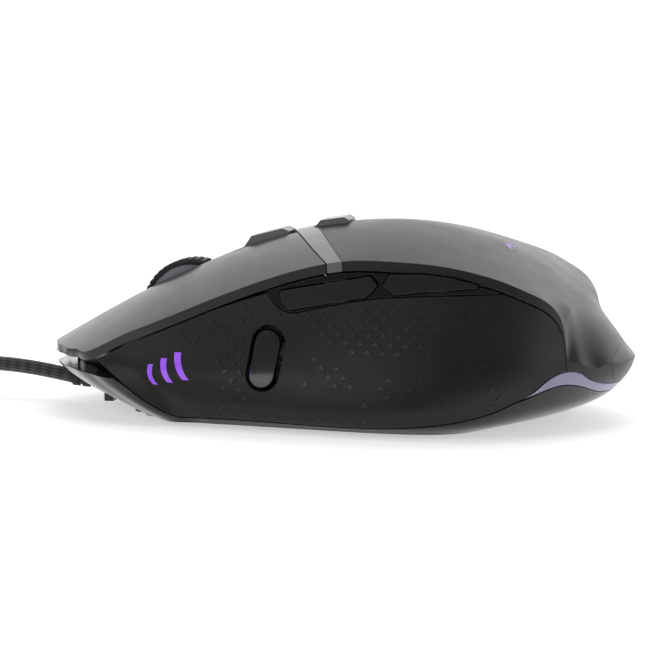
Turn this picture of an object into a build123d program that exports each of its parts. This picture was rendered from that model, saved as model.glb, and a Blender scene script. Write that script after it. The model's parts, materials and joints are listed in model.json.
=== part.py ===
"""Corded gaming mouse for the right hand, about 128 x 70 x 43 mm.

Frame, in millimetres: +Z up, the mouse stands on z = 0. The nose and the cord point to -X, the tail
to +X, and the thumb side faces -Y. The origin is under the middle of the mouse.
The outer form is a stack of plan outlines, lofted upwards, under one crowned top surface. Each shell
piece is cut from that form by its own outline, seen from the side or from above.
"""

from build123d import *
import math
import os

# --- driving dimensions -------------------------------------------------------------------------
FOOT = 0.8  # thickness of the glide feet; the base starts at this height
WALL = 2.0  # wall of the side panels and of the base
SKIN = 2.0  # thickness of the top covers
SEAM = 0.12  # each piece stands back this far from a parting line
BUTTON_GAP = 0.35  # gap round the main buttons
REACH = 90.0  # longer than any piece, for cutting prisms

SPINE_HALF = 4.6  # half width of the channel between the main buttons
SPINE_DROP = 1.0  # the spine lies this far under the top surface
SPINE_SKIN = 1.6

WHEEL_X, WHEEL_Z = -32.8, 20.9
WHEEL_R, WHEEL_HALF = 11.7, 3.0
AXLE_R = 1.2
RUNNING = 0.05  # radial clearance of a running fit

CORD_R, CORD_Z = 1.6, 5.3  # the cord leaves the nose at this height
BOARD_Z, BOARD_T = 6.4, 1.6
HINGE_X, HINGE_Z = -9.0, 28.5  # the main buttons turn about this line
HINGE_PIN_R = 1.0
LUG_Y = (10.0, 19.8)  # middles of the two hinge lugs of a main button
ARM_Y = (6.9, 12.9, 23.0)  # middles of the arms that hold a hinge pin
FRAME_GAP = 0.4  # shadow gap under the covers

SWITCH_X, SWITCH_Y = -41.0, 15.0
SWITCH_TOP = BOARD_Z + BOARD_T + 6.6
POST_X = -43.0  # the buttons press their switches here
WHEEL_SLOT = (-45.2, -20.4)
DPI_FRONT, DPI_REAR, DPI_HALF = (-21.7, -11.0), (-5.3, 2.3), 3.0
DPI_BOARD_TOP = 26.2
KEY_GAP, KEY_CORNER = 0.3, 0.4
SIDE_BOARD_Y = -19.2  # outer face of the side board
REAR_POSTS = [(31.0, -13.0), (31.0, 13.0)]
TIP_X = 61.2  # the palm cover ends here, at a solid tip
POST_FOOT, POST_R, PILOT_R = 8.0, 3.0, 1.3
STANDOFFS = [(-40.0, -15.0), (-40.0, 15.0), (20.0, -11.0), (20.0, 18.0)]
COIL_X, COIL_Y = -124.0, 12.0  # middle of the coiled spare cord


# --- the form -----------------------------------------------------------------------------------
# Height of the top surface along the middle of the mouse: (x, z)
CROWN = [
    (-76, 7.0), (-64, 14.2), (-58.7, 17.4), (-49.7, 22.6), (-40, 27.8), (-29.5, 32.6), (-20.6, 36.2),
    (-7, 40.2), (3, 41.7), (13, 42.2), (20, 41.8), (26.6, 40.7), (33.3, 38.7), (40.1, 35.8),
    (46.8, 31.7), (53.5, 26.2), (58, 21.3), (61, 17.1), (63, 15.0), (66, 14.0), (72, 13.6),
]
# How far the top surface has dropped at the side ridge, SIDE away from the middle: (x, drop)
DROP = [(-80, 8.0), (-48, 8.2), (-25, 8.4), (-9, 7.3), (6, 5.6), (20, 5.0), (36, 3.2), (50, 1.6), (80, 1.0)]
SIDE = 27.0
DROP_POWER = 1.6

# Plan outline at each height. The widths stand at x = -14, 4 and 20; rear and hip are points (x, y).
# z, nose tip x, nose corner, three half widths, rear point, hip point, tail x
OUTLINES = [
    (FOOT, -46.5, (-30.5, 27.8), (29.0, 31.0, 31.8), (31.0, 28.8), (37.5, 17.0), 40.0),
    (2.5, -50.8, (-33.0, 29.0), (31.0, 33.2, 34.2), (35.5, 29.9), (45.0, 17.5), 49.0),
    (5.0, -56.5, (-37.5, 28.8), (31.6, 33.8, 34.9), (39.0, 30.6), (50.5, 18.5), 56.5),
    (9.0, -62.8, (-43.8, 27.9), (31.0, 33.0, 34.3), (41.5, 30.7), (54.0, 19.6), 61.5),
    (13.0, -63.35, (-48.5, 26.4), (29.9, 31.7, 33.2), (43.0, 30.0), (56.3, 19.0), 63.9),
    (20.0, -63.35, (-48.8, 26.2), (28.8, 30.0, 31.4), (43.0, 28.6), (56.0, 18.8), 64.2),
    (30.0, -63.35, (-48.8, 26.0), (27.8, 28.6, 29.4), (43.0, 26.8), (55.5, 18.4), 64.2),
    (46.0, -63.35, (-48.8, 25.8), (26.6, 26.7, 26.9), (42.0, 24.4), (54.0, 17.2), 63.0),
]
WIDTH_X = (-14.0, 4.0, 20.0)
NOSE_FLAT = 4.5  # half width of the flat at the nose tip
NOSE_STEPS, FLANK_STEPS = 6, 22
FORM_TOP, FORM_STEPS = 44.0, 40

# Side outlines (x, z) of the parting lines between the shell pieces
PANEL_TOP = [(-9.0, 29.2), (-32.9, 20.4), (-47.6, 13.4)]
PANEL_NOSE = [(-47.6, 13.4), (-39.5, 7.6), (-33.2, 3.9), (-28.0, 2.0)]
PANEL_FOOT = [(-28.0, 2.0), (5.0, 2.0), (20.0, 2.4), (32.0, 3.8), (39.0, 5.6), (44.0, 7.9)]
STRIP_TOP = [(44.0, 7.9), (47.4, 9.8), (50.0, 12.1), (53.4, 13.7), (56.4, 12.9), (58.6, 10.6), (61.0, 9.4), (68.0, 9.0)]
STRIP_FOOT = [(44.0, 7.9), (49.6, 10.1), (53.5, 10.9), (56.4, 9.8), (58.8, 7.8), (61.5, 7.0), (68.0, 6.8)]
PALM_EDGE = [(47.3, 30.6), (52.0, 25.4), (54.9, 20.2), (56.5, 15.4), (56.4, 12.9)]
JAW_TOP = 9.8  # height of the lower nose
# lower edge of the black side frame, from its rear end forwards
FRAME_FOOT = [(47.3, 30.6), (37.5, 30.2), (25.0, 29.6), (15.0, 28.8), (3.0, 26.6), (-3.0, 25.1)]
FRAME_NOSE = [(-3.0, 25.1), (-6.4, 26.0), (-9.0, 29.2)]

# Trim belt between the main buttons and the palm cover, seen from above: middle, half way, side
BELT_FRONT = [(-10.4, 0.0), (-4.6, 13.0), (5.0, 30.0)]
BELT_REAR = [(-5.6, 0.0), (-0.4, 13.0), (8.0, 30.0)]

# Closed side outlines, each a list of runs
FRAME_ZONE = [FRAME_FOOT, FRAME_NOSE, [(-9, 29.2), (-9, 50)], [(-9, 50), (47.3, 50)], [(47.3, 50), (47.3, 30.6)]]
STRIP_START, STRIP_END = STRIP_TOP[:5], STRIP_TOP[4:]
PANEL_ZONE = [PANEL_TOP, PANEL_NOSE, PANEL_FOOT, STRIP_START, PALM_EDGE[::-1], FRAME_FOOT, FRAME_NOSE]
TAIL_CAP = [PALM_EDGE, STRIP_END, [(68, 9.0), (68, 50)], [(68, 50), (47.3, 50)], [(47.3, 50), (47.3, 30.6)]]
BELOW_PALM = [STRIP_START, STRIP_END, [(68, 9.0), (68, -5)], [(68, -5), (44, -5)], [(44, -5), (44, 7.9)]]
STRIP_ZONE = [STRIP_START, STRIP_END, [(68, 9.0), (68, 6.8)], STRIP_FOOT[::-1]]
BASE_EDGE = [[(-70, -5), (-70, JAW_TOP)], [(-70, JAW_TOP), (-43, JAW_TOP)], [(-43, JAW_TOP), (-39.5, 7.6)]]
BASE_EDGE += [[(-39.5, 7.6), (-33.2, 3.9), (-28.0, 2.0)], PANEL_FOOT, STRIP_FOOT, [(68, 6.8), (68, -5)]]
BASE_EDGE += [[(68, -5), (-70, -5)]]

# Side keys on the left, and the light slots: ends (x, z) and width
FORWARD_KEY = [(-6.2, 29.7), (13.3, 33.4), (14.9, 31.6), (12.6, 29.1), (-4.1, 25.8), (-5.9, 27.4)]
BACK_KEY = [(16.0, 31.6), (17.3, 33.9), (25, 34.1), (31.2, 33.4), (38.0, 31.7), (25, 30.6), (18.6, 29.7)]
THUMB_AT, THUMB_LEAN, THUMB_LENGTH, THUMB_WIDTH = (-9.2, 15.5), 81.0, 11.9, 5.4
LIGHT_ARCS = [
    ((-34.9, 13.0), (-33.5, 8.8), 1.1),
    ((-31.9, 14.4), (-30.2, 9.4), 1.35),
    ((-28.8, 15.8), (-26.8, 10.1), 1.5),
]
LOGO_X, LOGO_BAR, LOGO_ARM = 37.4, 1.1, 2.3  # tip, bar width and arm of the chevron light
BOARD_OUTLINE = [(-46, -11), (-46, 11), (-43, 18.4), (-16, 21), (26, 21), (26, -15), (-16, -15), (-43, -18.4)]
TYRE_GROOVES, TYRE_BAND = 48, 1.2
DPI_FRONT_PROFILE = [(-21.7, 33.0), (-21.7, 34.7), (-19.5, 38.0), (-12.5, 39.9), (-11.0, 39.3), (-11.0, 36.4)]
DPI_REAR_PROFILE = [(-5.3, 38.0), (-5.3, 40.3), (-4.0, 41.9), (1.2, 42.7), (2.3, 42.1), (2.3, 38.4)]

# Cord routes, in the order the cord runs, and the plug at its end
CORD_LEAD = [
    (-61.0, 0.0, CORD_Z), (-71.0, 0.0, 7.3), (-86.0, -1.5, 8.0), (-105.0, -8.5, 2.8), (-124.0, -10.3, 1.6),
]
CORD_TAIL = [
    (-138.4, -5.0, 10.6), (-150.35, 5.03, 11.8), (-151.2, 20.6, 13.6), (-140.5, 32.0, 15.6), (-124.9, 32.0, 16.3),
]
PLUG_AT = (-125.0, 32.0, 16.3)
RELIEF_PROFILE = [
    (-47.5, CORD_Z), (-47.5, CORD_Z + 2.4), (-49.8, CORD_Z + 2.4), (-49.8, CORD_Z + 1.3), (-52.5, CORD_Z + 1.3),
    (-52.5, CORD_Z + 2.6), (-54.1, CORD_Z + 2.5), (-54.1, CORD_Z + 1.9), (-55.0, CORD_Z + 1.9),
    (-55.0, CORD_Z + 2.4), (-56.4, CORD_Z + 2.3), (-56.4, CORD_Z + 1.8), (-57.3, CORD_Z + 1.8),
    (-57.3, CORD_Z + 2.3), (-58.7, CORD_Z + 2.2), (-58.7, CORD_Z + 1.7), (-59.6, CORD_Z + 1.7),
    (-59.6, CORD_Z + 2.1), (-61.0, CORD_Z + 2.0), (-61.0, CORD_Z),
]


def smooth(table, x):
    """Reads a table of (x, value) points with a smooth curve through them."""
    last = len(table) - 2
    i = max(j for j in range(last + 1) if j == 0 or table[j][0] <= x)
    slopes = [(table[j + 1][1] - table[j][1]) / (table[j + 1][0] - table[j][0]) for j in range(last + 1)]
    (x0, v0), (x1, v1) = table[i], table[i + 1]
    m0 = (slopes[i - 1] + slopes[i]) / 2 if i else slopes[i]
    m1 = (slopes[i] + slopes[i + 1]) / 2 if i < last else slopes[i]
    w = x1 - x0
    t = min(max((x - x0) / w, 0.0), 1.0)
    return (
        v0 * (1 + 2 * t) * (1 - t) ** 2
        + v1 * t * t * (3 - 2 * t)
        + m0 * w * t * (1 - t) ** 2
        - m1 * w * t * t * (1 - t)
    )


def top_height(x, y):
    """Height of the top surface. Round the tail, its level lines bend forwards away from the middle."""
    low, high = x, x + 20.0
    for _ in range(30):
        middle = (low + high) / 2
        bend = max(0.0, 0.0016 * (middle - 51.0))
        if middle - bend * min(abs(y), 24.0) ** 2 < x:
            low = middle
        else:
            high = middle
    return smooth(CROWN, low) - smooth(DROP, x) * (abs(y) / SIDE) ** DROP_POWER


def flat_row(level):
    """The numbers of one outline in a row, without its height."""
    _, tip, corner, widths, rear, hip, tail = level
    return [tip, *corner, *widths, *rear, *hip, tail]


def half_outline(z, inset):
    """Points of the plan outline at height z, drawn in by inset, from the nose round to the tail."""
    rows = [(level[0], flat_row(level)) for level in OUTLINES]
    row = [smooth([(height, values[i]) for height, values in rows], z) for i in range(len(rows[0][1]))]
    tip, corner, widths, rear, hip, tail = row[0], row[1:3], row[3:6], row[6:8], row[8:10], row[10]
    nose = tip + 1.15 * inset
    cx, cy = corner[0] + 0.7 * inset, corner[1] - inset
    belly = ((nose + cx) / 2 - 1.4, (NOSE_FLAT + cy) / 2 + 1.2)
    side = [(cx, cy)] + [(x, w - inset) for x, w in zip(WIDTH_X, widths)]
    side += [(rear[0] - 0.4 * inset, rear[1] - inset), (hip[0] - 0.8 * inset, hip[1] - 0.7 * inset)]
    back = [(x, -y) for x, y in reversed(side)]
    nose_arc = ThreePointArc((nose, NOSE_FLAT), belly, (cx, cy), mode=Mode.PRIVATE)
    flank = Spline(*side, (tail - inset, 0), *back, mode=Mode.PRIVATE)
    points = [Vector(nose, 0), Vector(nose, NOSE_FLAT / 2)]
    points += [nose_arc @ (i / NOSE_STEPS) for i in range(NOSE_STEPS)]
    points += [flank @ (0.5 * i / FLANK_STEPS) for i in range(FLANK_STEPS)]
    return [(p.X, p.Y) for p in points] + [(tail - inset, 0)]


def body_form(inset=0.0, floor=FOOT):
    """Solid of the side walls, without the top surface, drawn in by inset."""
    heights = [floor + (FORM_TOP - floor) * (i / FORM_STEPS) ** 1.5 for i in range(FORM_STEPS + 1)]
    rows = [(z, half_outline(z, inset)) for z in heights]
    walls = []
    for side in (-1, 1):
        grid = [[Vector(x, side * y, z) for x, y in row] for z, row in rows]
        walls.append(Face.make_surface_from_array_of_points(grid, tol=0.02, max_deg=5))
    ends = []
    for last in (0, -1):
        rims = [wall.edges().sort_by(Axis.Z)[last] for wall in walls]
        ends.append(Face(Wire(rims)))
    form = Solid(Shell([*walls, *ends]))
    return form if form.volume > 0 else form.fix()


def outline_prism(z, inset, z0, z1):
    """Upright prism over the plan outline of height z."""
    points = half_outline(z, inset)
    with BuildPart() as prism:
        with BuildSketch(Plane.XY.offset(z0)):
            with BuildLine():
                Spline(*points)
                Spline(*[(x, -y) for x, y in points])
            make_face()
        extrude(amount=z1 - z0)
    return prism.part


GRID_X = [-74 + 4.0 * i for i in range(37)]
GRID_Y = [-36 + 4.0 * i for i in range(19)]
DEEP = 130.0  # deeper than the whole form
crown_face = Face.make_surface_from_array_of_points(
    [[Vector(x, y, top_height(x, y)) for y in GRID_Y] for x in GRID_X], tol=0.02
)


def under(depth):
    """Everything more than depth below the top surface."""
    with BuildPart() as solid:
        extrude(crown_face.moved(Location((0, 0, -depth))), amount=DEEP, dir=(0, 0, -1))
    return solid.part


def across(a, b, turn):
    """Unit normal of the step from a to b, on its left for turn 1 and on its right for turn -1."""
    dx, dz = b[0] - a[0], b[1] - a[1]
    length = math.hypot(dx, dz)
    return -dz / length * turn, dx / length * turn


def drawn_in(runs, seam):
    """The runs of a closed outline, each moved inwards by seam, with mitred corners."""
    points = [p for run in runs for p in run[:-1]]
    area = sum(a[0] * b[1] - b[0] * a[1] for a, b in zip(points, points[1:] + points[:1]))
    turn = 1 if area > 0 else -1
    moved = []
    for i, run in enumerate(runs):
        before, after = runs[i - 1], runs[(i + 1) % len(runs)]
        chain = [before[-2], *run, after[1]]
        shifted = []
        for p, q, r in zip(chain, chain[1:], chain[2:]):
            (ax, az), (bx, bz) = across(p, q, turn), across(q, r, turn)
            scale = seam / (1 + ax * bx + az * bz)
            shifted.append((q[0] + (ax + bx) * scale, q[1] + (az + bz) * scale))
        moved.append(shifted)
    return moved


def side_prism(runs, y_from, y_to, seam=SEAM):
    """Prism along Y over a closed side outline, drawn in by seam. Two-point runs are straight."""
    with BuildPart() as prism:
        with BuildSketch(Plane.XZ.offset(-y_from)):
            with BuildLine():
                for points in drawn_in(runs, seam):
                    if len(points) == 2:
                        Line(*points)
                    else:
                        Spline(*points)
            make_face()
        extrude(amount=-(y_to - y_from))
    return prism.part


def one_side(side):
    """The y range of the left (-1) or right (+1) half."""
    return {"y_from": min(0, side * REACH), "y_to": max(0, side * REACH)}


def plan_box(x0, x1, y0, y1, z0=-5.0, z1=60.0):
    """Upright block between two corners."""
    with BuildPart() as block:
        with BuildSketch(Plane.XY.offset(z0)):
            with Locations(((x0 + x1) / 2, (y0 + y1) / 2)):
                Rectangle(x1 - x0, y1 - y0)
        extrude(amount=z1 - z0)
    return block.part


def behind(curve, side, x_end=REACH):
    """Upright prism over one half of the plan, from a belt edge to x_end."""
    near = [(x, side * y) for x, y in curve]
    with BuildPart() as prism:
        with BuildSketch(Plane.XY.offset(-5)):
            with BuildLine():
                ThreePointArc(*near)
                Polyline(near[-1], (x_end, near[-1][1]), (x_end, 0), near[0])
            make_face()
        extrude(amount=65)
    return prism.part


def moved_on(points, dx):
    """The same plan points, dx further back."""
    return [(x + dx, y) for x, y in points]


pieces = {}


def finish(name, part):
    """Gives a finished piece its label and keeps it under its node name."""
    part.label = name
    pieces[name] = part


def cylinder_at(x, y, z0, z1, radius):
    """Upright round rod."""
    with BuildPart() as rod:
        with BuildSketch(Plane.XY.offset(z0)):
            with Locations((x, y)):
                Circle(radius)
        extrude(amount=z1 - z0)
    return rod.part


def rod_along_y(x, z, y0, y1, radius):
    """Round rod along Y."""
    with BuildPart() as rod:
        with BuildSketch(Plane.XZ.offset(-y0)):
            with Locations((x, z)):
                Circle(radius)
        extrude(amount=-(y1 - y0))
    return rod.part


def profile_along_y(points, y0, y1):
    """Prism along Y over a closed outline of (x, z) points."""
    with BuildPart() as prism:
        with BuildSketch(Plane.XZ.offset(-y0)):
            with BuildLine():
                Polyline(*points, close=True)
            make_face()
        extrude(amount=-(y1 - y0))
    return prism.part


# --- blanks that the shell pieces are cut from ----------------------------------------------------
walls_outer = body_form()
walls_inner = body_form(WALL, FOOT + WALL)
under_top, under_skin, under_gap = under(0), under(SKIN), under(SKIN + FRAME_GAP)

with BuildPart() as body_blank:
    add(walls_outer)
    add(under_top, mode=Mode.INTERSECT)

with BuildPart() as cover_blank:
    add(body_blank.part)
    add(under_skin, mode=Mode.SUBTRACT)

with BuildPart() as ring_blank:
    add(body_blank.part)
    add(walls_inner, mode=Mode.SUBTRACT)

with BuildPart() as low_ring_blank:
    add(ring_blank.part)
    add(under_gap, mode=Mode.INTERSECT)
    add(outline_prism(2.4, WALL, 1.5, 3.1), mode=Mode.SUBTRACT)


# --- top covers -----------------------------------------------------------------------------------
def main_button(name, side):
    """One main button: a cover plate with hinge lugs and a post over its switch. side is -1 for left."""
    with BuildPart() as button:
        add(cover_blank.part)
        near, far = sorted((side * (SPINE_HALF + BUTTON_GAP), side * REACH))
        add(plan_box(-REACH, 20, near, far), mode=Mode.INTERSECT)
        add(behind(moved_on(BELT_FRONT, -BUTTON_GAP), side), mode=Mode.SUBTRACT)
        y = side * SWITCH_Y
        top = top_height(POST_X, y) - 1.2
        add(plan_box(POST_X - 0.8, POST_X + 0.8, y - 2, y + 2, SWITCH_TOP + 0.95, top))
        for lug_y in LUG_Y:
            y = side * lug_y
            top = top_height(HINGE_X, y) - 1.4
            add(plan_box(HINGE_X - 1.8, HINGE_X + 1.8, y - 1.2, y + 1.2, HINGE_Z, top))
            add(rod_along_y(HINGE_X, HINGE_Z, y - 1.2, y + 1.2, 2.4))
            add(rod_along_y(HINGE_X, HINGE_Z, y - 2, y + 2, HINGE_PIN_R + RUNNING), mode=Mode.SUBTRACT)
    finish(name, button.part)


def logo_prism(gap):
    """Plain chevron, upright through the palm cover."""
    front, back = LOGO_X - 1.6 - gap, LOGO_X - gap
    bar, arm = LOGO_BAR + 2 * gap, LOGO_ARM + gap
    outline = [(front, 0), (back, arm), (back + bar, arm), (front + bar, 0), (back + bar, -arm), (back, -arm)]
    with BuildPart() as prism:
        with BuildSketch(Plane.XY.offset(20)):
            with BuildLine():
                Polyline(*outline, close=True)
            make_face()
        extrude(amount=30)
    return prism.part


def palm_cover():
    """The rear cover."""
    with BuildPart() as rear:
        for side in (-1, 1):
            add(behind(moved_on(BELT_REAR, SEAM), side))
    with BuildPart() as cover:
        add(body_blank.part)
        add(plan_box(TIP_X, REACH, -REACH, REACH), mode=Mode.SUBTRACT)
        add(rear.part, mode=Mode.INTERSECT)
        add(under_skin, mode=Mode.SUBTRACT)
        add(side_prism(BELOW_PALM, y_from=-REACH, y_to=REACH, seam=-SEAM), mode=Mode.SUBTRACT)
        add(key_prism(BACK_KEY, KEY_GAP), mode=Mode.SUBTRACT)
        add(plan_box(-6.2, DPI_REAR[1] + 0.25, -DPI_HALF - 0.25, DPI_HALF + 0.25), mode=Mode.SUBTRACT)
        add(logo_prism(SEAM), mode=Mode.SUBTRACT)
    finish("palm_cover", cover.part)


def rear_posts():
    """Two posts that carry the palm cover and take the screws."""
    for name, (x, y) in zip(("left_post", "right_post"), REAR_POSTS):
        with BuildPart() as post:
            add(cylinder_at(x, y, POST_FOOT, top_height(x, y) - 4.0, POST_R))
            add(cylinder_at(x, y, 0, POST_FOOT + 8, PILOT_R), mode=Mode.SUBTRACT)
        finish(name, post.part)


def tail_cap():
    """Wall under the rear end of the palm cover, down to the light strip."""
    with BuildPart() as cap:
        add(ring_blank.part)
        add(under_skin, mode=Mode.INTERSECT)
        add(side_prism(TAIL_CAP, y_from=-REACH, y_to=REACH), mode=Mode.INTERSECT)
        add(plan_box(TIP_X, REACH, -REACH, REACH), mode=Mode.SUBTRACT)
    finish("tail_cap", cap.part)
    with BuildPart() as tip:
        add(body_blank.part)
        add(plan_box(TIP_X, REACH, -REACH, REACH), mode=Mode.INTERSECT)
        add(side_prism(TAIL_CAP, y_from=-REACH, y_to=REACH), mode=Mode.INTERSECT)
    finish("tail_tip", tip.part)


def logo_window():
    """Light window in the palm cover."""
    with BuildPart() as window:
        add(cover_blank.part)
        add(logo_prism(0.0), mode=Mode.INTERSECT)
    finish("logo_window", window.part)


def dpi_rear_slot():
    """Room for the rear sensitivity key, which stands across the belt and the palm cover."""
    return plan_box(DPI_REAR[0] - 0.25, DPI_REAR[1] + 0.25, -DPI_HALF - 0.25, DPI_HALF + 0.25)


def trim_belt():
    """Bright belt between the main buttons and the palm cover."""
    with BuildPart() as zone:
        for side in (-1, 1):
            add(behind(BELT_FRONT, side))
        for side in (-1, 1):
            add(behind(BELT_REAR, side), mode=Mode.SUBTRACT)
    with BuildPart() as belt:
        add(cover_blank.part)
        add(zone.part, mode=Mode.INTERSECT)
        add(dpi_rear_slot(), mode=Mode.SUBTRACT)
    finish("trim_belt", belt.part)


def spine_cover():
    """Sunk strip between the main buttons, with slots for the wheel and the front sensitivity key."""
    with BuildPart() as spine:
        add(walls_outer)
        add(under(SPINE_DROP), mode=Mode.INTERSECT)
        add(plan_box(-REACH, 0, -SPINE_HALF, SPINE_HALF), mode=Mode.INTERSECT)
        add(under(SPINE_DROP + SPINE_SKIN), mode=Mode.SUBTRACT)
        for side in (-1, 1):
            add(behind(moved_on(BELT_FRONT, -SEAM), side), mode=Mode.SUBTRACT)
        add(plan_box(*WHEEL_SLOT, -WHEEL_HALF - 0.5, WHEEL_HALF + 0.5), mode=Mode.SUBTRACT)
        add(plan_box(DPI_FRONT[0] - 0.25, DPI_FRONT[1] + 2, -DPI_HALF - 0.25, DPI_HALF + 0.25), mode=Mode.SUBTRACT)
    finish("spine_cover", spine.part)


def sensitivity_key(name, profile, stem_x):
    """Small key on the spine, with a stem over its switch."""
    with BuildPart() as key:
        add(profile_along_y(profile, -DPI_HALF, DPI_HALF))
        fillet(key.edges().filter_by(Axis.Y).group_by(Axis.Z)[-1], radius=0.5)
        add(cylinder_at(stem_x, 0, DPI_BOARD_TOP + 4.8, profile[-1][1] + 0.3, 0.9))
    finish(name, key.part)


# --- sides ----------------------------------------------------------------------------------------
def key_prism(points, gap):
    """Prism through the left wall over the outline of a side key, widened by gap."""
    with BuildPart() as prism:
        with BuildSketch(Plane.XZ) as plan:
            with BuildLine():
                Polyline(*points, close=True)
            make_face()
            fillet(plan.vertices(), radius=KEY_CORNER)
            if gap:
                offset(amount=gap)
        extrude(amount=REACH)
    return prism.part


def thumb_prism(gap):
    """Prism through the left wall over the thumb key, a leaning capsule."""
    with BuildPart() as prism:
        with BuildSketch(Plane.XZ):
            with Locations(Location(THUMB_AT, THUMB_LEAN)):
                SlotOverall(THUMB_LENGTH + 2 * gap, THUMB_WIDTH + 2 * gap)
        extrude(amount=REACH)
    return prism.part


def side_key(name, prism, stem_at, stem_root, proud):
    """A key in the left wall, standing proud of it, with a stem that points at its switch."""
    x, z = stem_at
    with BuildPart() as plate:
        add(ring_blank.part)
        add(prism, mode=Mode.INTERSECT)
    with BuildPart() as key:
        add(plate.part.moved(Location((0, -proud, 0))))
        add(plan_box(x - 1.2, x + 1.2, stem_root, SIDE_BOARD_Y - 4.2, z - 0.8, z + 0.8))
    finish(name, key.part)


def side_frame(name, side):
    """Black frame between the covers and the side panel."""
    with BuildPart() as frame:
        add(low_ring_blank.part)
        add(side_prism(FRAME_ZONE, **one_side(side)), mode=Mode.INTERSECT)
        if side < 0:
            add(key_prism(FORWARD_KEY, KEY_GAP), mode=Mode.SUBTRACT)
            add(key_prism(BACK_KEY, KEY_GAP), mode=Mode.SUBTRACT)
    finish(name, frame.part)


def light_arcs(side):
    """The three curved light slots of one side, as prisms through the wall."""
    with BuildPart() as arcs:
        for (x0, z0), (x1, z1), width in LIGHT_ARCS:
            half = width / 2
            bulge = ((x0 + x1) / 2 - 0.75, (z0 + z1) / 2 - 0.3)
            with BuildSketch(Plane.XZ.offset(15 if side < 0 else -REACH)):
                with BuildLine():
                    ThreePointArc((x0 - half, z0), (bulge[0] - half, bulge[1]), (x1 - half, z1))
                    Line((x1 - half, z1), (x1 + half, z1))
                    ThreePointArc((x1 + half, z1), (bulge[0] + half, bulge[1]), (x0 + half, z0))
                    Line((x0 + half, z0), (x0 - half, z0))
                make_face()
            extrude(amount=REACH - 15)
    return arcs.part


def side_panel(name, side):
    """Grip panel with its light slots; the left one also has the slot of the thumb key."""
    with BuildPart() as panel:
        add(low_ring_blank.part)
        add(side_prism(PANEL_ZONE, **one_side(side)), mode=Mode.INTERSECT)
        add(light_arcs(side), mode=Mode.SUBTRACT)
        if side < 0:
            add(thumb_prism(1.0), mode=Mode.SUBTRACT)
    finish(name, panel.part)


def light_windows(name, side):
    """Diffusers that fill the light slots of one side."""
    with BuildPart() as windows:
        add(low_ring_blank.part)
        add(light_arcs(side), mode=Mode.INTERSECT)
    finish(name, windows.part)


def light_strip():
    """Light strip that runs round the tail under the palm cover."""
    with BuildPart() as strip:
        add(ring_blank.part)
        add(side_prism(STRIP_ZONE, y_from=-REACH, y_to=REACH), mode=Mode.INTERSECT)
    finish("light_strip", strip.part)


# --- base -----------------------------------------------------------------------------------------
def base_floor():
    """Floor plate and lower rim of the base."""
    with BuildPart() as flat:
        add(walls_outer)
        add(plan_box(-REACH, REACH, -REACH, REACH, 0, 1.85), mode=Mode.INTERSECT)
    with BuildPart() as base:
        add(ring_blank.part)
        add(side_prism(BASE_EDGE, y_from=-REACH, y_to=REACH), mode=Mode.INTERSECT)
        add(flat.part)
        add(outline_prism(1.2, WALL + 0.15, 1.5, FOOT + WALL))
    return base.part


def nose_bulkhead():
    """Upright wall inside the nose, with the shelf that closes the gap in front of it."""
    with BuildPart() as outer_blank:
        add(body_form(4.5, 2.5))
        add(plan_box(-REACH, -30, -REACH, REACH, 0, 50), mode=Mode.INTERSECT)
        add(under(SKIN + 1.4), mode=Mode.INTERSECT)
    with BuildPart() as inner_blank:
        add(body_form(6.0, 2.5))
    with BuildPart() as shelf:
        add(walls_outer)
        add(plan_box(-REACH, -44, -REACH, REACH, 8.2, JAW_TOP - SEAM), mode=Mode.INTERSECT)
    with BuildPart() as nose:
        add(outer_blank.part)
        add(shelf.part)
        add(inner_blank.part, mode=Mode.SUBTRACT)
    return nose.part


def base_shell():
    """Base with its nose, bosses for the screws and the board, and the openings underneath."""
    with BuildPart() as base:
        add(base_floor())
        add(nose_bulkhead())
        with BuildPart(mode=Mode.PRIVATE) as rest:
            add(plan_box(-58.8, -57.2, -SPINE_HALF + 0.4, SPINE_HALF - 0.4, 9, 40))
            add(under(SPINE_DROP + SPINE_SKIN), mode=Mode.INTERSECT)
        add(rest.part)
        add(plan_box(-70, -52, -4.0, 4.0, 0, 8.2), mode=Mode.SUBTRACT)
        add(plan_box(-52, -50, -6.5, 6.5, FOOT + 0.3, 9.0))
        add(plan_box(-60, -40, -1.3, 1.3, CORD_Z - 1.3, CORD_Z + 1.3), mode=Mode.SUBTRACT)
        add(plan_box(-50, -46.5, -2.7, 2.7, CORD_Z - 2.7, CORD_Z + 2.7), mode=Mode.SUBTRACT)
        for y in (-SWITCH_Y, SWITCH_Y):
            near_switch = (SWITCH_X - 6.7, SWITCH_X + 6.7, y - 3.3, y + 3.3)
            add(plan_box(*near_switch, BOARD_Z - 0.1, SWITCH_TOP + 0.5), mode=Mode.SUBTRACT)
        for x, y in REAR_POSTS:
            add(cylinder_at(x, y, FOOT, POST_FOOT, POST_R + 0.4))
            add(cylinder_at(x, y, 0, FOOT + 2.1, 2.7), mode=Mode.SUBTRACT)
            add(cylinder_at(x, y, 0, 20, 1.35), mode=Mode.SUBTRACT)
        for x, y in STANDOFFS:
            add(cylinder_at(x, y, FOOT, BOARD_Z, 2.2))
            add(cylinder_at(x, y, FOOT + 1.2, 20, 0.9), mode=Mode.SUBTRACT)
        add(plan_box(-9, 1, -4, 4), mode=Mode.SUBTRACT)
    finish("base_shell", base.part)


def glide_foot(name, x, length, width):
    """Low-friction foot with rounded corners."""
    with BuildPart() as foot:
        with BuildSketch():
            with Locations((x, 0)):
                RectangleRounded(width, length, min(width, length) * 0.45)
        extrude(amount=FOOT)
        fillet(foot.faces().sort_by(Axis.Z)[0].edges(), radius=0.25)
    finish(name, foot.part)


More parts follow.
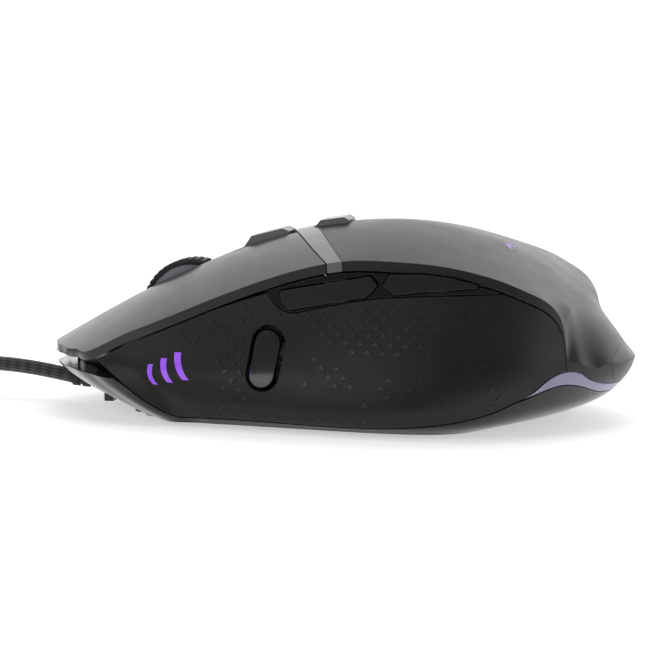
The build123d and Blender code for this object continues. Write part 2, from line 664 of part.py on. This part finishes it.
# --- inside ---------------------------------------------------------------------------------------
def main_board():
    """Printed circuit board of the base."""
    with BuildPart() as board:
        with BuildSketch(Plane.XY.offset(BOARD_Z)):
            with BuildLine():
                Polyline(*BOARD_OUTLINE, close=True)
            make_face()
            with Locations((-4, 0)):
                Rectangle(8, 6, mode=Mode.SUBTRACT)
            with Locations(*STANDOFFS):
                Circle(1.1, mode=Mode.SUBTRACT)
        extrude(amount=BOARD_T)
    finish("main_board", board.part)


def click_switch(name, x, y, along_x=True):
    """Micro switch on the main board, with its key at the top."""
    z = BOARD_Z + BOARD_T
    half_x, half_y = (6.4, 2.9) if along_x else (2.9, 6.4)
    with BuildPart() as switch:
        add(plan_box(x - half_x, x + half_x, y - half_y, y + half_y, z, SWITCH_TOP))
        add(plan_box(x - half_x + 3.6, x - half_x + 5.2, y - 0.8, y + 0.8, SWITCH_TOP - 1, SWITCH_TOP + 0.25))
    finish(name, switch.part)


def tact_switch(name, place):
    """Small push switch: a square can with a round key, on the plane of its board."""
    with BuildPart() as tact:
        with BuildSketch(place):
            Rectangle(4.5, 4.5)
        extrude(amount=3.0)
        with BuildSketch(place):
            Circle(1.2)
        extrude(amount=3.5)
    finish(name, tact.part)


def side_board():
    """Upright board beside the left wall; it stands on the base, with a window for the hinge beam."""
    outline = [(-14, FOOT + WALL), (-14, 20), (-6.3, 22), (-6.3, 26), (-3.5, 31), (10, 33.6), (30, 34.2)]
    outline += [(35, 32.6), (35, FOOT + WALL)]
    with BuildPart() as board:
        add(profile_along_y(outline, SIDE_BOARD_Y, SIDE_BOARD_Y + 1.2))
        add(plan_box(-5.2, 1.2, -REACH, 0, 19.8, DPI_BOARD_TOP - 1.0), mode=Mode.SUBTRACT)
    finish("side_board", board.part)


def hinge_bridge():
    """Cross beam on two legs. Its arms hold the hinge pins, and the sensitivity board lies on it."""
    with BuildPart() as bridge:
        add(plan_box(-5, 1, -24, 24, 20, DPI_BOARD_TOP - 1.2))
        for side in (-1, 1):
            near, far = sorted((side * 22.4, side * 24.6))
            add(plan_box(-5, 1, near, far, FOOT + WALL, 25))
            for arm in ARM_Y:
                y = side * arm
                add(plan_box(HINGE_X - 2, -4, y - 0.75, y + 0.75, 22, HINGE_Z + 2))
                add(rod_along_y(HINGE_X, HINGE_Z, y - 1, y + 1, HINGE_PIN_R), mode=Mode.SUBTRACT)
    finish("hinge_bridge", bridge.part)


def hinge_pin(name, side):
    """Pin of one main button."""
    y0, y1 = sorted((side * (ARM_Y[0] - 0.75), side * (ARM_Y[2] + 0.75)))
    finish(name, rod_along_y(HINGE_X, HINGE_Z, y0, y1, HINGE_PIN_R))


def sensor_parts():
    """Optical sensor on the board, and the lens under it."""
    with BuildPart() as chip:
        add(plan_box(-10, 2, -5, 5, BOARD_Z + BOARD_T, BOARD_Z + BOARD_T + 2.4))
    finish("sensor", chip.part)
    with BuildPart() as lens:
        add(plan_box(-8.5, 0.5, -3.6, 3.6, 1.6, BOARD_Z))
        with Locations((-4, 0, 1.6)):
            Sphere(2.2, mode=Mode.SUBTRACT)
    finish("sensor_lens", lens.part)


def screws():
    """Two screws from below into the posts of the palm cover."""
    for name, (x, y) in zip(("left_screw", "right_screw"), REAR_POSTS):
        with BuildPart() as screw:
            add(cylinder_at(x, y, FOOT + 0.4, FOOT + 2.1, 2.5))
            add(cylinder_at(x, y, FOOT + 2, 15, 1.25))
            add(plan_box(x - 1.6, x + 1.6, y - 0.3, y + 0.3, 0, FOOT + 1.1), mode=Mode.SUBTRACT)
            add(plan_box(x - 0.3, x + 0.3, y - 1.6, y + 1.6, 0, FOOT + 1.1), mode=Mode.SUBTRACT)
        finish(name, screw.part)


# --- wheel ----------------------------------------------------------------------------------------
def wheel_parts():
    """Scroll wheel: hub with its axle, and the grooved tyre."""
    with BuildPart() as tyre:
        add(rod_along_y(WHEEL_X, WHEEL_Z, -WHEEL_HALF, WHEEL_HALF, WHEEL_R))
        fillet(tyre.edges().filter_by(GeomType.CIRCLE), radius=0.9)
        add(rod_along_y(WHEEL_X, WHEEL_Z, -WHEEL_HALF, WHEEL_HALF, WHEEL_R - TYRE_BAND), mode=Mode.SUBTRACT)
        with BuildSketch(Plane.XZ.offset(WHEEL_HALF)):
            with Locations((WHEEL_X, WHEEL_Z)):
                with PolarLocations(WHEEL_R, TYRE_GROOVES):
                    Rectangle(1.0, 0.6)
        extrude(amount=-2 * WHEEL_HALF, mode=Mode.SUBTRACT)
    finish("wheel_tyre", tyre.part)
    with BuildPart() as hub:
        add(rod_along_y(WHEEL_X, WHEEL_Z, -WHEEL_HALF + 0.3, WHEEL_HALF - 0.3, WHEEL_R - TYRE_BAND))
        for y in (-WHEEL_HALF, 1.4):
            add(rod_along_y(WHEEL_X, WHEEL_Z, y, y + 1.6, WHEEL_R - 4.4), mode=Mode.SUBTRACT)
        add(rod_along_y(WHEEL_X, WHEEL_Z, -WHEEL_HALF + 0.3, WHEEL_HALF - 0.3, 3.0))
        add(rod_along_y(WHEEL_X, WHEEL_Z, -8.5, 6.2, AXLE_R))
    finish("wheel_hub", hub.part)


def wheel_carrier():
    """Frame that holds the wheel and sinks a little when the wheel is pressed, with the encoder on it."""
    rim = [(-47, 10), (-47, 16.5), (-38, 22.8), (-27.5, 22.8), (-18.5, 18), (-10.5, 18), (-10.5, 16.2), (-18.5, 16.2)]
    with BuildPart() as carrier:
        add(profile_along_y(rim + [(-18.5, 10)], -5.6, 5.6))
        add(plan_box(-45.4, -20.2, -4.0, 4.0), mode=Mode.SUBTRACT)
        add(rod_along_y(WHEEL_X, WHEEL_Z, -8, 8, AXLE_R + RUNNING), mode=Mode.SUBTRACT)
    finish("wheel_carrier", carrier.part)
    with BuildPart() as encoder:
        add(plan_box(WHEEL_X - 5, WHEEL_X + 5, -10.2, -5.6, 12, 23.4))
        add(rod_along_y(WHEEL_X, WHEEL_Z, -8.6, 0, AXLE_R + RUNNING), mode=Mode.SUBTRACT)
    finish("encoder", encoder.part)


# --- cord -----------------------------------------------------------------------------------------
def bend_radii(points):
    """Bend radius at each inner point of a cord route: close to the largest that fits."""
    radii = []
    for a, b, c in zip(points, points[1:], points[2:]):
        before, after = Vector(*b) - Vector(*a), Vector(*c) - Vector(*b)
        half_turn = math.radians(before.get_angle(after)) / 2
        radii.append(0.45 * min(before.length, after.length) / math.tan(half_turn))
    return radii


def cord_run(name, points):
    """Round tube along a route of straight runs with tangent bends."""
    radii = bend_radii(points)
    print(name, "bend radii", [round(r, 1) for r in radii])
    with BuildPart() as tube:
        with BuildLine() as route:
            FilletPolyline(*points, radius=radii)
        start = Vector(*points[0])
        with BuildSketch(Plane(start, z_dir=Vector(*points[1]) - start)):
            Circle(CORD_R)
        sweep()
    print(name, "volume", round(tube.part.volume, 1), round(math.pi * CORD_R**2 * route.wires()[0].length, 1))
    finish(name, tube.part)


def cord_relief():
    """Ribbed bend relief in the nose."""
    with BuildPart() as relief:
        with BuildSketch(Plane.XZ):
            with BuildLine():
                Polyline(*RELIEF_PROFILE, close=True)
            make_face()
        revolve(axis=Axis((0, 0, CORD_Z), (1, 0, 0)))
    finish("cord_relief", relief.part)


def cord_coil():
    """The spare cord, coiled flat."""
    with BuildPart() as coil:
        with BuildSketch():
            with Locations((COIL_X, COIL_Y)):
                Circle(24.0)
                Circle(10.8, mode=Mode.SUBTRACT)
        extrude(amount=12.3)
        fillet(coil.edges(), radius=3.0)
    finish("cord_coil", coil.part)


def usb_plug():
    """Plug that lies on the coil."""
    x, y, z = PLUG_AT
    with BuildPart() as grip:
        add(plan_box(x, x + 19, y - 6, y + 6, z - 4, z + 4))
        fillet(grip.edges().filter_by(Axis.X), radius=2.0)
        fillet(grip.faces().sort_by(Axis.X)[0].edges(), radius=1.2)
        add(plan_box(x + 13, x + 19, y - 5.95, y + 5.95, z - 2.2, z + 2.2), mode=Mode.SUBTRACT)
    finish("plug_grip", grip.part)
    with BuildPart() as shell:
        add(plan_box(x + 13, x + 31, y - 5.95, y + 5.95, z - 2.2, z + 2.2))
        add(plan_box(x + 14, x + 31, y - 5.6, y + 5.6, z - 1.9, z + 1.9), mode=Mode.SUBTRACT)
        for dy in (-2.5, 2.5):
            add(plan_box(x + 23, x + 25.5, y + dy - 1, y + dy + 1, z, z + 4), mode=Mode.SUBTRACT)
    finish("plug_shell", shell.part)
    with BuildPart() as tongue:
        add(plan_box(x + 14, x + 30.5, y - 5.6, y + 5.6, z - 1.9, z - 0.1))
    finish("plug_tongue", tongue.part)


main_button("left_button", -1)
main_button("right_button", 1)
palm_cover()
rear_posts()
tail_cap()
logo_window()
trim_belt()
spine_cover()
sensitivity_key("dpi_front_key", DPI_FRONT_PROFILE, -16.0)
sensitivity_key("dpi_rear_key", DPI_REAR_PROFILE, -1.5)
side_key("forward_key", key_prism(FORWARD_KEY, 0), (4.0, 29.6), -28.4, 0.9)
side_key("back_key", key_prism(BACK_KEY, 0), (26.0, 32.2), -28.6, 0.7)
side_key("thumb_key", thumb_prism(0), THUMB_AT, -29.4, 0.8)
side_frame("left_frame", -1)
side_frame("right_frame", 1)
side_panel("left_panel", -1)
side_panel("right_panel", 1)
light_windows("left_lights", -1)
light_windows("right_lights", 1)
light_strip()
base_shell()
glide_foot("front_foot", -36.0, 36.0, 8.0)
glide_foot("rear_foot", 33.5, 14.0, 7.0)
main_board()
click_switch("left_switch", SWITCH_X, -SWITCH_Y)
click_switch("right_switch", SWITCH_X, SWITCH_Y)
click_switch("middle_switch", -13.0, 0.0, along_x=False)
side_board()
with BuildPart() as dpi_board:
    add(plan_box(-20, 6, -5, 5, DPI_BOARD_TOP - 1.2, DPI_BOARD_TOP))
finish("dpi_board", dpi_board.part)
tact_switch("dpi_front_switch", Plane((-16, 0, DPI_BOARD_TOP)))
tact_switch("dpi_rear_switch", Plane((-1.5, 0, DPI_BOARD_TOP)))
for switch_name, (x, z) in (("forward_switch", (4.0, 29.6)), ("back_switch", (26.0, 32.2)), ("thumb_switch", THUMB_AT)):
    tact_switch(switch_name, Plane((x, SIDE_BOARD_Y, z), z_dir=(0, -1, 0)))
hinge_bridge()
hinge_pin("left_hinge_pin", -1)
hinge_pin("right_hinge_pin", 1)
sensor_parts()
screws()
wheel_parts()
wheel_carrier()
cord_relief()
cord_run("cord_lead", CORD_LEAD)
cord_coil()
cord_run("cord_tail", CORD_TAIL)
usb_plug()

os.makedirs("parts", exist_ok=True)
for name, piece in pieces.items():
    export_step(piece, f"parts/{name}.step")
whole = Compound(children=[p for n, p in pieces.items() if not n.startswith(("cord_", "plug_"))])
box = whole.bounding_box()
print("mouse", box.min, box.max, len(pieces), "pieces")
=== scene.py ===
"""Looks of the corded mouse. Units are metres; +Z up, nose to -X, thumb side to -Y."""

import json
import math
import random

import bpy
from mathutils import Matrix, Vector


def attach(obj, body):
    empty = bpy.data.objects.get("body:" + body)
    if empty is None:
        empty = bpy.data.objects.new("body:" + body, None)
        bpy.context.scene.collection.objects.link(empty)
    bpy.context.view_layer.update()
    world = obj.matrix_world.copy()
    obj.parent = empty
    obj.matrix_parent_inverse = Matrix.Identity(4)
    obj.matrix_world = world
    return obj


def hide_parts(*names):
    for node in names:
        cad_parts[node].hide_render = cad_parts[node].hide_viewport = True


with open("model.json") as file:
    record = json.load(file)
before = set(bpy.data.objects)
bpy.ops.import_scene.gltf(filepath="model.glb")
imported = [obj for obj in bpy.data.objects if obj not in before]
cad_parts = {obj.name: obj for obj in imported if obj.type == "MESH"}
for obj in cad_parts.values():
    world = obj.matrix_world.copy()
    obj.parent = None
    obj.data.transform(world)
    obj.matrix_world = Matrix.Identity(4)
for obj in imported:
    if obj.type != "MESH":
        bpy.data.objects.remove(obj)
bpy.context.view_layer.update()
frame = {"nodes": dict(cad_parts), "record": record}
NODES = frame["nodes"]
MM = 0.001


# --- camera -----------------------------------------------------------------------------------------
AZIMUTH, ELEVATION = math.radians(14.0), math.radians(8.0)
VIEW_WIDTH = 0.1416  # width of the picture at the object
LENS = 200.0
SENSOR = 36.0


def make_camera():
    """Camera at the view of the thumb side, a little from the tail."""
    data = bpy.data.cameras.new("camera")
    data.lens = LENS
    data.sensor_width = SENSOR
    data.clip_start, data.clip_end = 0.01, 20.0
    camera = bpy.data.objects.new("camera", data)
    bpy.context.scene.collection.objects.link(camera)
    sa, ca, se, ce = math.sin(AZIMUTH), math.cos(AZIMUTH), math.sin(ELEVATION), math.cos(ELEVATION)
    back = Vector((sa * ce, -ca * ce, se))
    right = Vector((ca, sa, 0.0))
    up = Vector((-se * sa, se * ca, ce))
    target = right * -0.0036 + up * 0.0186
    distance = VIEW_WIDTH / 2 / math.tan(math.atan(SENSOR / 2 / LENS))
    camera.location = target + back * distance
    camera.rotation_mode = "QUATERNION"
    camera.rotation_quaternion = (-back).to_track_quat("-Z", "Y")
    bpy.context.scene.camera = camera


make_camera()


# --- cord -------------------------------------------------------------------------------------------
CORD_R = 1.6
COIL = (-124.0, 12.0)
LEAD = [(-61.0, 0.0, 5.3), (-71.0, 0.0, 7.3), (-86.0, -1.5, 8.0), (-105.0, -8.5, 2.8)]
TAIL = [
    (-138.4, -5.0, 10.7), (-150.35, 5.03, 11.8), (-151.2, 20.6, 13.6),
    (-140.5, 32.0, 15.6), (-124.9, 32.0, 16.3),
]
RINGS = [12.8, 16.1, 19.4, 22.7]
STEPS = 16  # points per turn


def coil_points():
    """Turns of the coil, clockwise from above, from the outer bottom turn to the outer top one."""
    points = []
    rows = [list(reversed(RINGS)), list(RINGS)] * 2
    angle = -90.0
    spans = []
    for layer, row in enumerate(rows):
        for radius in row:
            spans.append((radius, 1.6 + 3.0 * layer))
    last = len(spans)
    for turn, (radius, height) in enumerate(spans):
        after = spans[turn + 1] if turn + 1 < last else (radius, height)
        steps = STEPS if turn + 1 < last else 2
        for i in range(steps):
            part = max(0.0, (i - STEPS * 0.6) / (STEPS * 0.4))
            r = radius + (after[0] - radius) * part
            z = height + (after[1] - height) * part
            a = math.radians(angle - 360.0 * i / STEPS)
            points.append((COIL[0] + r * math.cos(a), COIL[1] + r * math.sin(a), z))
    return points


def make_cord():
    """The whole free cord, as one curve."""
    data = bpy.data.curves.new("cord", "CURVE")
    data.dimensions = "3D"
    data.bevel_depth = CORD_R * MM
    data.bevel_resolution = 6
    data.resolution_u = 6
    data.use_fill_caps = True
    points = LEAD + coil_points() + TAIL
    spline = data.splines.new("NURBS")
    spline.points.add(len(points) - 1)
    for point, (x, y, z) in zip(spline.points, points):
        point.co = (x * MM, y * MM, z * MM, 1.0)
    spline.order_u = 3
    spline.use_endpoint_u = True
    cord = bpy.data.objects.new("cord", data)
    bpy.context.scene.collection.objects.link(cord)
    return cord


cord = make_cord()
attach(cord, "casing")
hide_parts("cord_lead", "cord_coil", "cord_tail")


# --- materials --------------------------------------------------------------------------------------
class Shader:
    """A node material under construction."""

    def __init__(self, name):
        self.material = bpy.data.materials.new(name)
        self.material.use_nodes = True
        self.tree = self.material.node_tree
        self.tree.nodes.clear()
        self.out = self.tree.nodes.new("ShaderNodeOutputMaterial")
        self.bsdf = self.tree.nodes.new("ShaderNodeBsdfPrincipled")
        self.link(self.bsdf, "BSDF", self.out, "Surface")
        self.coordinate = self.tree.nodes.new("ShaderNodeTexCoord")

    def link(self, a, output, b, socket):
        self.tree.links.new(a.outputs[output], b.inputs[socket])

    def noise(self, scale, detail=3.0, roughness=0.55, space="Object"):
        node = self.tree.nodes.new("ShaderNodeTexNoise")
        node.inputs["Scale"].default_value = scale
        node.inputs["Detail"].default_value = detail
        node.inputs["Roughness"].default_value = roughness
        self.link(self.coordinate, space, node, "Vector")
        return node

    def spread(self, source, output, low, high):
        """Maps a 0..1 output to low..high."""
        node = self.tree.nodes.new("ShaderNodeMapRange")
        node.inputs["From Min"].default_value = 0.3
        node.inputs["From Max"].default_value = 0.7
        node.inputs["To Min"].default_value = low
        node.inputs["To Max"].default_value = high
        self.link(source, output, node, "Value")
        return node

    def colours(self, source, output, stops):
        node = self.tree.nodes.new("ShaderNodeValToRGB")
        ramp = node.color_ramp
        while len(ramp.elements) < len(stops):
            ramp.elements.new(0.5)
        for element, (place, colour) in zip(ramp.elements, stops):
            element.position = place
            element.color = (*colour, 1.0)
        self.link(source, output, node, "Fac")
        return node

    def bump(self, source, output, strength, distance, onto=None):
        node = self.tree.nodes.new("ShaderNodeBump")
        node.inputs["Strength"].default_value = strength
        node.inputs["Distance"].default_value = distance
        self.link(source, output, node, "Height")
        if onto is not None:
            self.link(onto, "Normal", node, "Normal")
        return node

    def set(self, **values):
        for socket, value in values.items():
            self.bsdf.inputs[socket.replace("_", " ")].default_value = value


def plastic(
    name, colour, rough, grain=9000.0, grain_depth=0.12, vary=0.12, coat=0.0, sheen=0.0, edge=0.25, shine=0.35
):
    """Moulded plastic: slight cloudiness, fine spark-eroded grain, worn highlights on its edges."""
    s = Shader(name)
    cloud = s.noise(90.0, 4.0)
    low = [c * (1 - vary) for c in colour]
    high = [c * (1 + vary) for c in colour]
    s.link(s.colours(cloud, "Fac", [(0.3, low), (0.7, high)]), "Color", s.bsdf, "Base Color")
    smear = s.noise(160.0, 5.0, 0.6)
    s.link(s.spread(smear, "Fac", rough * 0.88, rough * 1.12), "Result", s.bsdf, "Roughness")
    round_edge = s.tree.nodes.new("ShaderNodeBevel")
    round_edge.samples = 4
    round_edge.inputs["Radius"].default_value = edge * MM
    grain_noise = s.noise(grain, 2.0, 0.5)
    s.link(s.bump(grain_noise, "Fac", grain_depth, 0.00005, round_edge), "Normal", s.bsdf, "Normal")
    s.set(IOR=1.5, Coat_Weight=coat, Coat_Roughness=0.08, Sheen_Weight=sheen)
    s.set(Sheen_Roughness=0.4, Specular_IOR_Level=shine)
    return s.material


def lit_plastic(name, colour, glow, strength, rough=0.3):
    """Frosted window with light behind it."""
    s = Shader(name)
    cloud = s.noise(220.0, 3.0)
    low = [c * 0.85 for c in colour]
    high = [min(1.0, c * 1.12) for c in colour]
    s.link(s.colours(cloud, "Fac", [(0.3, low), (0.7, high)]), "Color", s.bsdf, "Base Color")
    patches = s.noise(120.0, 2.0)
    light = s.colours(patches, "Fac", [(0.25, [c * 0.8 for c in glow]), (0.75, glow)])
    s.link(light, "Color", s.bsdf, "Emission Color")
    frost = s.noise(6000.0, 2.0)
    s.link(s.bump(frost, "Fac", 0.1, 0.00004), "Normal", s.bsdf, "Normal")
    s.link(s.spread(cloud, "Fac", rough * 0.85, rough * 1.15), "Result", s.bsdf, "Roughness")
    s.set(Emission_Strength=strength, Subsurface_Weight=0.15, Subsurface_Scale=0.001)
    return s.material


def metal(name, colour, rough):
    s = Shader(name)
    streak = s.noise(900.0, 4.0)
    s.link(s.spread(streak, "Fac", rough * 0.75, rough * 1.3), "Result", s.bsdf, "Roughness")
    brushed = s.colours(streak, "Fac", [(0.3, [c * 0.9 for c in colour]), (0.7, colour)])
    s.link(brushed, "Color", s.bsdf, "Base Color")
    s.link(s.bump(streak, "Fac", 0.05, 0.00003), "Normal", s.bsdf, "Normal")
    s.set(Metallic=1.0)
    return s.material


def glass(name):
    s = Shader(name)
    haze = s.noise(500.0, 2.0)
    s.link(s.spread(haze, "Fac", 0.02, 0.06), "Result", s.bsdf, "Roughness")
    s.set(Transmission_Weight=0.9, IOR=1.49, Base_Color=(0.92, 0.94, 0.97, 1.0))
    return s.material


def board(name):
    """Solder mask with tracks."""
    s = Shader(name)
    tracks = s.tree.nodes.new("ShaderNodeTexBrick")
    tracks.inputs["Scale"].default_value = 260.0
    tracks.inputs["Color1"].default_value = (0.008, 0.055, 0.03, 1)
    tracks.inputs["Color2"].default_value = (0.012, 0.07, 0.036, 1)
    tracks.inputs["Mortar"].default_value = (0.03, 0.12, 0.06, 1)
    s.link(s.coordinate, "Object", tracks, "Vector")
    s.link(tracks, "Color", s.bsdf, "Base Color")
    s.link(s.bump(tracks, "Fac", 0.2, 0.00004), "Normal", s.bsdf, "Normal")
    s.set(Roughness=0.35)
    return s.material


def braid(name):
    """Woven sleeve: two families of strands crossing round the cord."""
    s = Shader(name)
    split = s.tree.nodes.new("ShaderNodeSeparateXYZ")
    s.link(s.coordinate, "UV", split, "Vector")

    def wave(sign):
        along = s.tree.nodes.new("ShaderNodeMath")
        along.operation = "MULTIPLY"
        along.inputs[1].default_value = BRAID_ALONG
        s.link(split, "X", along, 0)
        round_it = s.tree.nodes.new("ShaderNodeMath")
        round_it.operation = "MULTIPLY_ADD"
        round_it.inputs[1].default_value = sign * 2 * math.pi * BRAID_ROUND
        s.link(split, "Y", round_it, 0)
        s.tree.links.new(along.outputs[0], round_it.inputs[2])
        sine = s.tree.nodes.new("ShaderNodeMath")
        sine.operation = "SINE"
        s.tree.links.new(round_it.outputs[0], sine.inputs[0])
        return sine

    cross = s.tree.nodes.new("ShaderNodeMath")
    cross.operation = "MULTIPLY"
    s.tree.links.new(wave(1).outputs[0], cross.inputs[0])
    s.tree.links.new(wave(-1).outputs[0], cross.inputs[1])
    height = s.tree.nodes.new("ShaderNodeMapRange")
    height.inputs["From Min"].default_value = -1.0
    height.inputs["From Max"].default_value = 1.0
    s.tree.links.new(cross.outputs[0], height.inputs["Value"])
    threads = s.colours(height, "Result", [(0.2, (0.008, 0.008, 0.009)), (0.75, (0.05, 0.05, 0.052))])
    s.link(threads, "Color", s.bsdf, "Base Color")
    s.link(s.bump(height, "Result", 0.8, 0.0002), "Normal", s.bsdf, "Normal")
    fibre = s.noise(5000.0, 2.0)
    s.link(s.spread(fibre, "Fac", 0.6, 0.85), "Result", s.bsdf, "Roughness")
    s.set(Sheen_Weight=0.3, Sheen_Roughness=0.5)
    return s.material


BRAID_ALONG, BRAID_ROUND = 2 * math.pi * 900.0, 8
MATERIALS = {
    "button_grey": plastic("button_grey", (0.020, 0.0212, 0.021), 0.30, vary=0.05, coat=0.12),
    "palm_grey": plastic("palm_grey", (0.0125, 0.0128, 0.0125), 0.34, vary=0.06, sheen=0.04),
    "gloss_black": plastic("gloss_black", (0.004, 0.004, 0.004), 0.12, grain_depth=0.02, coat=0.6, edge=0.2),
    "grip_black": plastic("grip_black", (0.0062, 0.0056, 0.0056), 0.40, grain_depth=0.25, sheen=0.03),
    "key_black": plastic("key_black", (0.010, 0.010, 0.010), 0.25, coat=0.3, edge=0.3),
    "trim_grey": plastic("trim_grey", (0.125, 0.125, 0.127), 0.3, coat=0.3),
    "light_strip": lit_plastic("light_strip", (0.20, 0.185, 0.27), (0.30, 0.27, 0.44), 0.18),
    "light_purple": lit_plastic("light_purple", (0.22, 0.07, 0.55), (0.22, 0.055, 0.56), 0.8),
    "logo_light": lit_plastic("logo_light", (0.16, 0.08, 0.30), (0.30, 0.12, 0.70), 0.35),
    "base_black": plastic("base_black", (0.006, 0.006, 0.0065), 0.22, coat=0.35),
    "foot_ptfe": plastic("foot_ptfe", (0.03, 0.03, 0.03), 0.4),
    "board_green": board("board_green"),
    "switch_black": plastic("switch_black", (0.02, 0.02, 0.02), 0.45),
    "steel": metal("steel", (0.56, 0.56, 0.57), 0.3),
    "chip_black": plastic("chip_black", (0.015, 0.015, 0.017), 0.5),
    "lens_clear": glass("lens_clear"),
    "inner_plastic": plastic("inner_plastic", (0.02, 0.02, 0.022), 0.5),
    "wheel_hub": plastic("wheel_hub", (0.24, 0.24, 0.27), 0.3),
    "wheel_rubber": plastic("wheel_rubber", (0.012, 0.012, 0.013), 0.6, grain_depth=0.3),
    "cord_braid": braid("cord_braid"),
    "relief_rubber": plastic("relief_rubber", (0.02, 0.02, 0.022), 0.5, grain_depth=0.25),
}


def dress(obj, slot, angle=28.0):
    """Gives a mesh its material and smooth shading with crisp edges."""
    obj.data.materials.clear()
    obj.data.materials.append(MATERIALS[slot])
    if obj.type == "MESH":
        obj.data.shade_smooth()
        obj.data.set_sharp_from_angle(angle=math.radians(angle))


for subpart in frame["record"]["subparts"]:
    if subpart["node"] in NODES:
        dress(NODES[subpart["node"]], subpart["material_slot"])
dress(cord, "cord_braid")


# --- grip pattern -----------------------------------------------------------------------------------
def hit(node, x, z, side):
    """The y of a panel's outer face at (x, z), or None off it. Values in millimetres."""
    start = Vector((x * MM, side * 0.09, z * MM))
    found, place, normal, _ = NODES[node].ray_cast(start, Vector((0, -side, 0)))
    if not found or abs(normal.y) < 0.3:
        return None
    return place.y / MM


def triangle_mesh(name, node, side, places):
    """Small raised triangles on a grip panel."""
    verts, faces = [], []
    for x, z, size, flip in places:
        foot, tip = z - 0.45 * size * flip, z + 0.85 * size * flip
        corners = [(x - size, foot), (x + size, foot), (x, tip)]
        depths = [hit(node, cx, cz, side) for cx, cz in corners]
        if None in depths or max(depths) - min(depths) > 1.2:
            continue
        base = len(verts)
        for (cx, cz), depth in zip(corners, depths):
            verts.append((cx * MM, (depth - side * 0.1) * MM, cz * MM))
        middle = (sum(c[0] for c in corners) / 3, sum(c[1] for c in corners) / 3)
        for (cx, cz), depth in zip(corners, depths):
            tx, tz = cx + (middle[0] - cx) * 0.16, cz + (middle[1] - cz) * 0.16
            verts.append((tx * MM, (depth + side * 0.14) * MM, tz * MM))
        faces.append((base + 3, base + 4, base + 5))
        for i in range(3):
            j = (i + 1) % 3
            faces.append((base + i, base + j, base + 3 + j, base + 3 + i))
    data = bpy.data.meshes.new(name)
    data.from_pydata(verts, [], faces)
    data.validate()
    obj = bpy.data.objects.new(name, data)
    bpy.context.scene.collection.objects.link(obj)
    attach(obj, "casing")
    data.materials.append(MATERIALS["grip_mark"])
    return obj


def triangle_places():
    """Where the grip triangles are: dense under the side keys, thinning out downwards and to both ends."""
    random.seed(7)
    places = []
    for row in range(16):
        z = 3.6 + 1.75 * row
        for column in range(28):
            x = -33.0 + 3.3 * column + (1.65 if row % 2 else 0.0)
            under_keys = -7.0 < x < 36.0 and z > 17.0 + 0.02 * (x - 15) ** 2
            inside = under_keys or (-25.0 < x < -12.5 and z < 27.0)
            chance = 0.86 if inside else (0.20 if x < 38.0 else 0.08)
            keep = random.random() < chance
            near_lights = x < -20.0 and z < 17.0
            near_thumb_key = ((x + 9.2) / 5.0) ** 2 + ((z - 15.5) / 8.2) ** 2 < 1.0
            if not keep or near_lights or near_thumb_key:
                continue
            places.append((x, z, 1.05, 1 if (row + column) % 3 else -1))
    return places


# Base colour lighter than grip_black: a painted sheen where the raised triangles catch the light; roughness
# and grain differ for real.
MATERIALS["grip_mark"] = plastic("grip_mark", (0.014, 0.013, 0.0135), 0.36, grain_depth=0.1, edge=0.08)
PLACES = triangle_places()
triangle_mesh("left_grip_marks", "left_panel", -1, PLACES)
triangle_mesh("right_grip_marks", "right_panel", 1, PLACES)


# --- floor and light --------------------------------------------------------------------------------
def make_stage():
    """Pale floor, bright surroundings and three soft lights."""
    bpy.ops.mesh.primitive_plane_add(size=12.0, location=(0, 0, -0.00002))
    floor = bpy.context.object
    floor.name = "floor"
    s = Shader("floor")
    paper = s.noise(12.0, 3.0)
    surface = s.colours(paper, "Fac", [(0.3, (0.80, 0.80, 0.80)), (0.7, (0.82, 0.82, 0.82))])
    s.link(surface, "Color", s.bsdf, "Base Color")
    light = s.colours(paper, "Fac", [(0.3, (0.99, 0.99, 0.99)), (0.7, (1.0, 1.0, 1.0))])
    s.link(light, "Color", s.bsdf, "Emission Color")
    s.set(Roughness=0.9, Emission_Strength=0.52)
    s.bsdf.inputs["Specular IOR Level"].default_value = 0.1
    floor.data.materials.append(s.material)
    world = bpy.data.worlds.new("world")
    bpy.context.scene.world = world
    world.use_nodes = True
    world.node_tree.nodes["Background"].inputs[0].default_value = (1.0, 1.0, 1.0, 1.0)
    world.node_tree.nodes["Background"].inputs[1].default_value = 0.16
    bpy.ops.mesh.primitive_plane_add(size=12.0, location=(-0.6, 3.0, 2.0), rotation=(math.pi / 2, 0, 0))
    wall = bpy.context.object
    wall.name = "backdrop"
    s = Shader("backdrop")
    paper = s.noise(3.0, 2.0)
    light = s.colours(paper, "Fac", [(0.3, (0.99, 0.99, 0.99)), (0.7, (1.0, 1.0, 1.0))])
    s.link(light, "Color", s.bsdf, "Emission Color")
    s.set(Roughness=1.0, Emission_Strength=1.0)
    wall.data.materials.append(s.material)
    lights = [
        ("top", (0.02, 0.12, 0.60), (0.0, 0.0, 0.02), 0.55, 0.30, 1.2),
        ("front", (-0.35, -0.55, 0.42), (0.0, 0.0, 0.02), 0.25, 0.35, 0.9),
        ("tail", (0.70, -0.25, 0.30), (0.02, 0.0, 0.02), 0.20, 0.40, 1.1),
    ]
    for name, place, aim, width, height, power in lights:
        data = bpy.data.lights.new(name, "AREA")
        data.shape = "RECTANGLE"
        data.size, data.size_y = width, height
        data.energy = power
        lamp = bpy.data.objects.new(name, data)
        bpy.context.scene.collection.objects.link(lamp)
        lamp.location = place
        lamp.rotation_euler = (Vector(place) - Vector(aim)).to_track_quat("Z", "Y").to_euler()
    bpy.context.scene.view_settings.view_transform = "Standard"


make_stage()
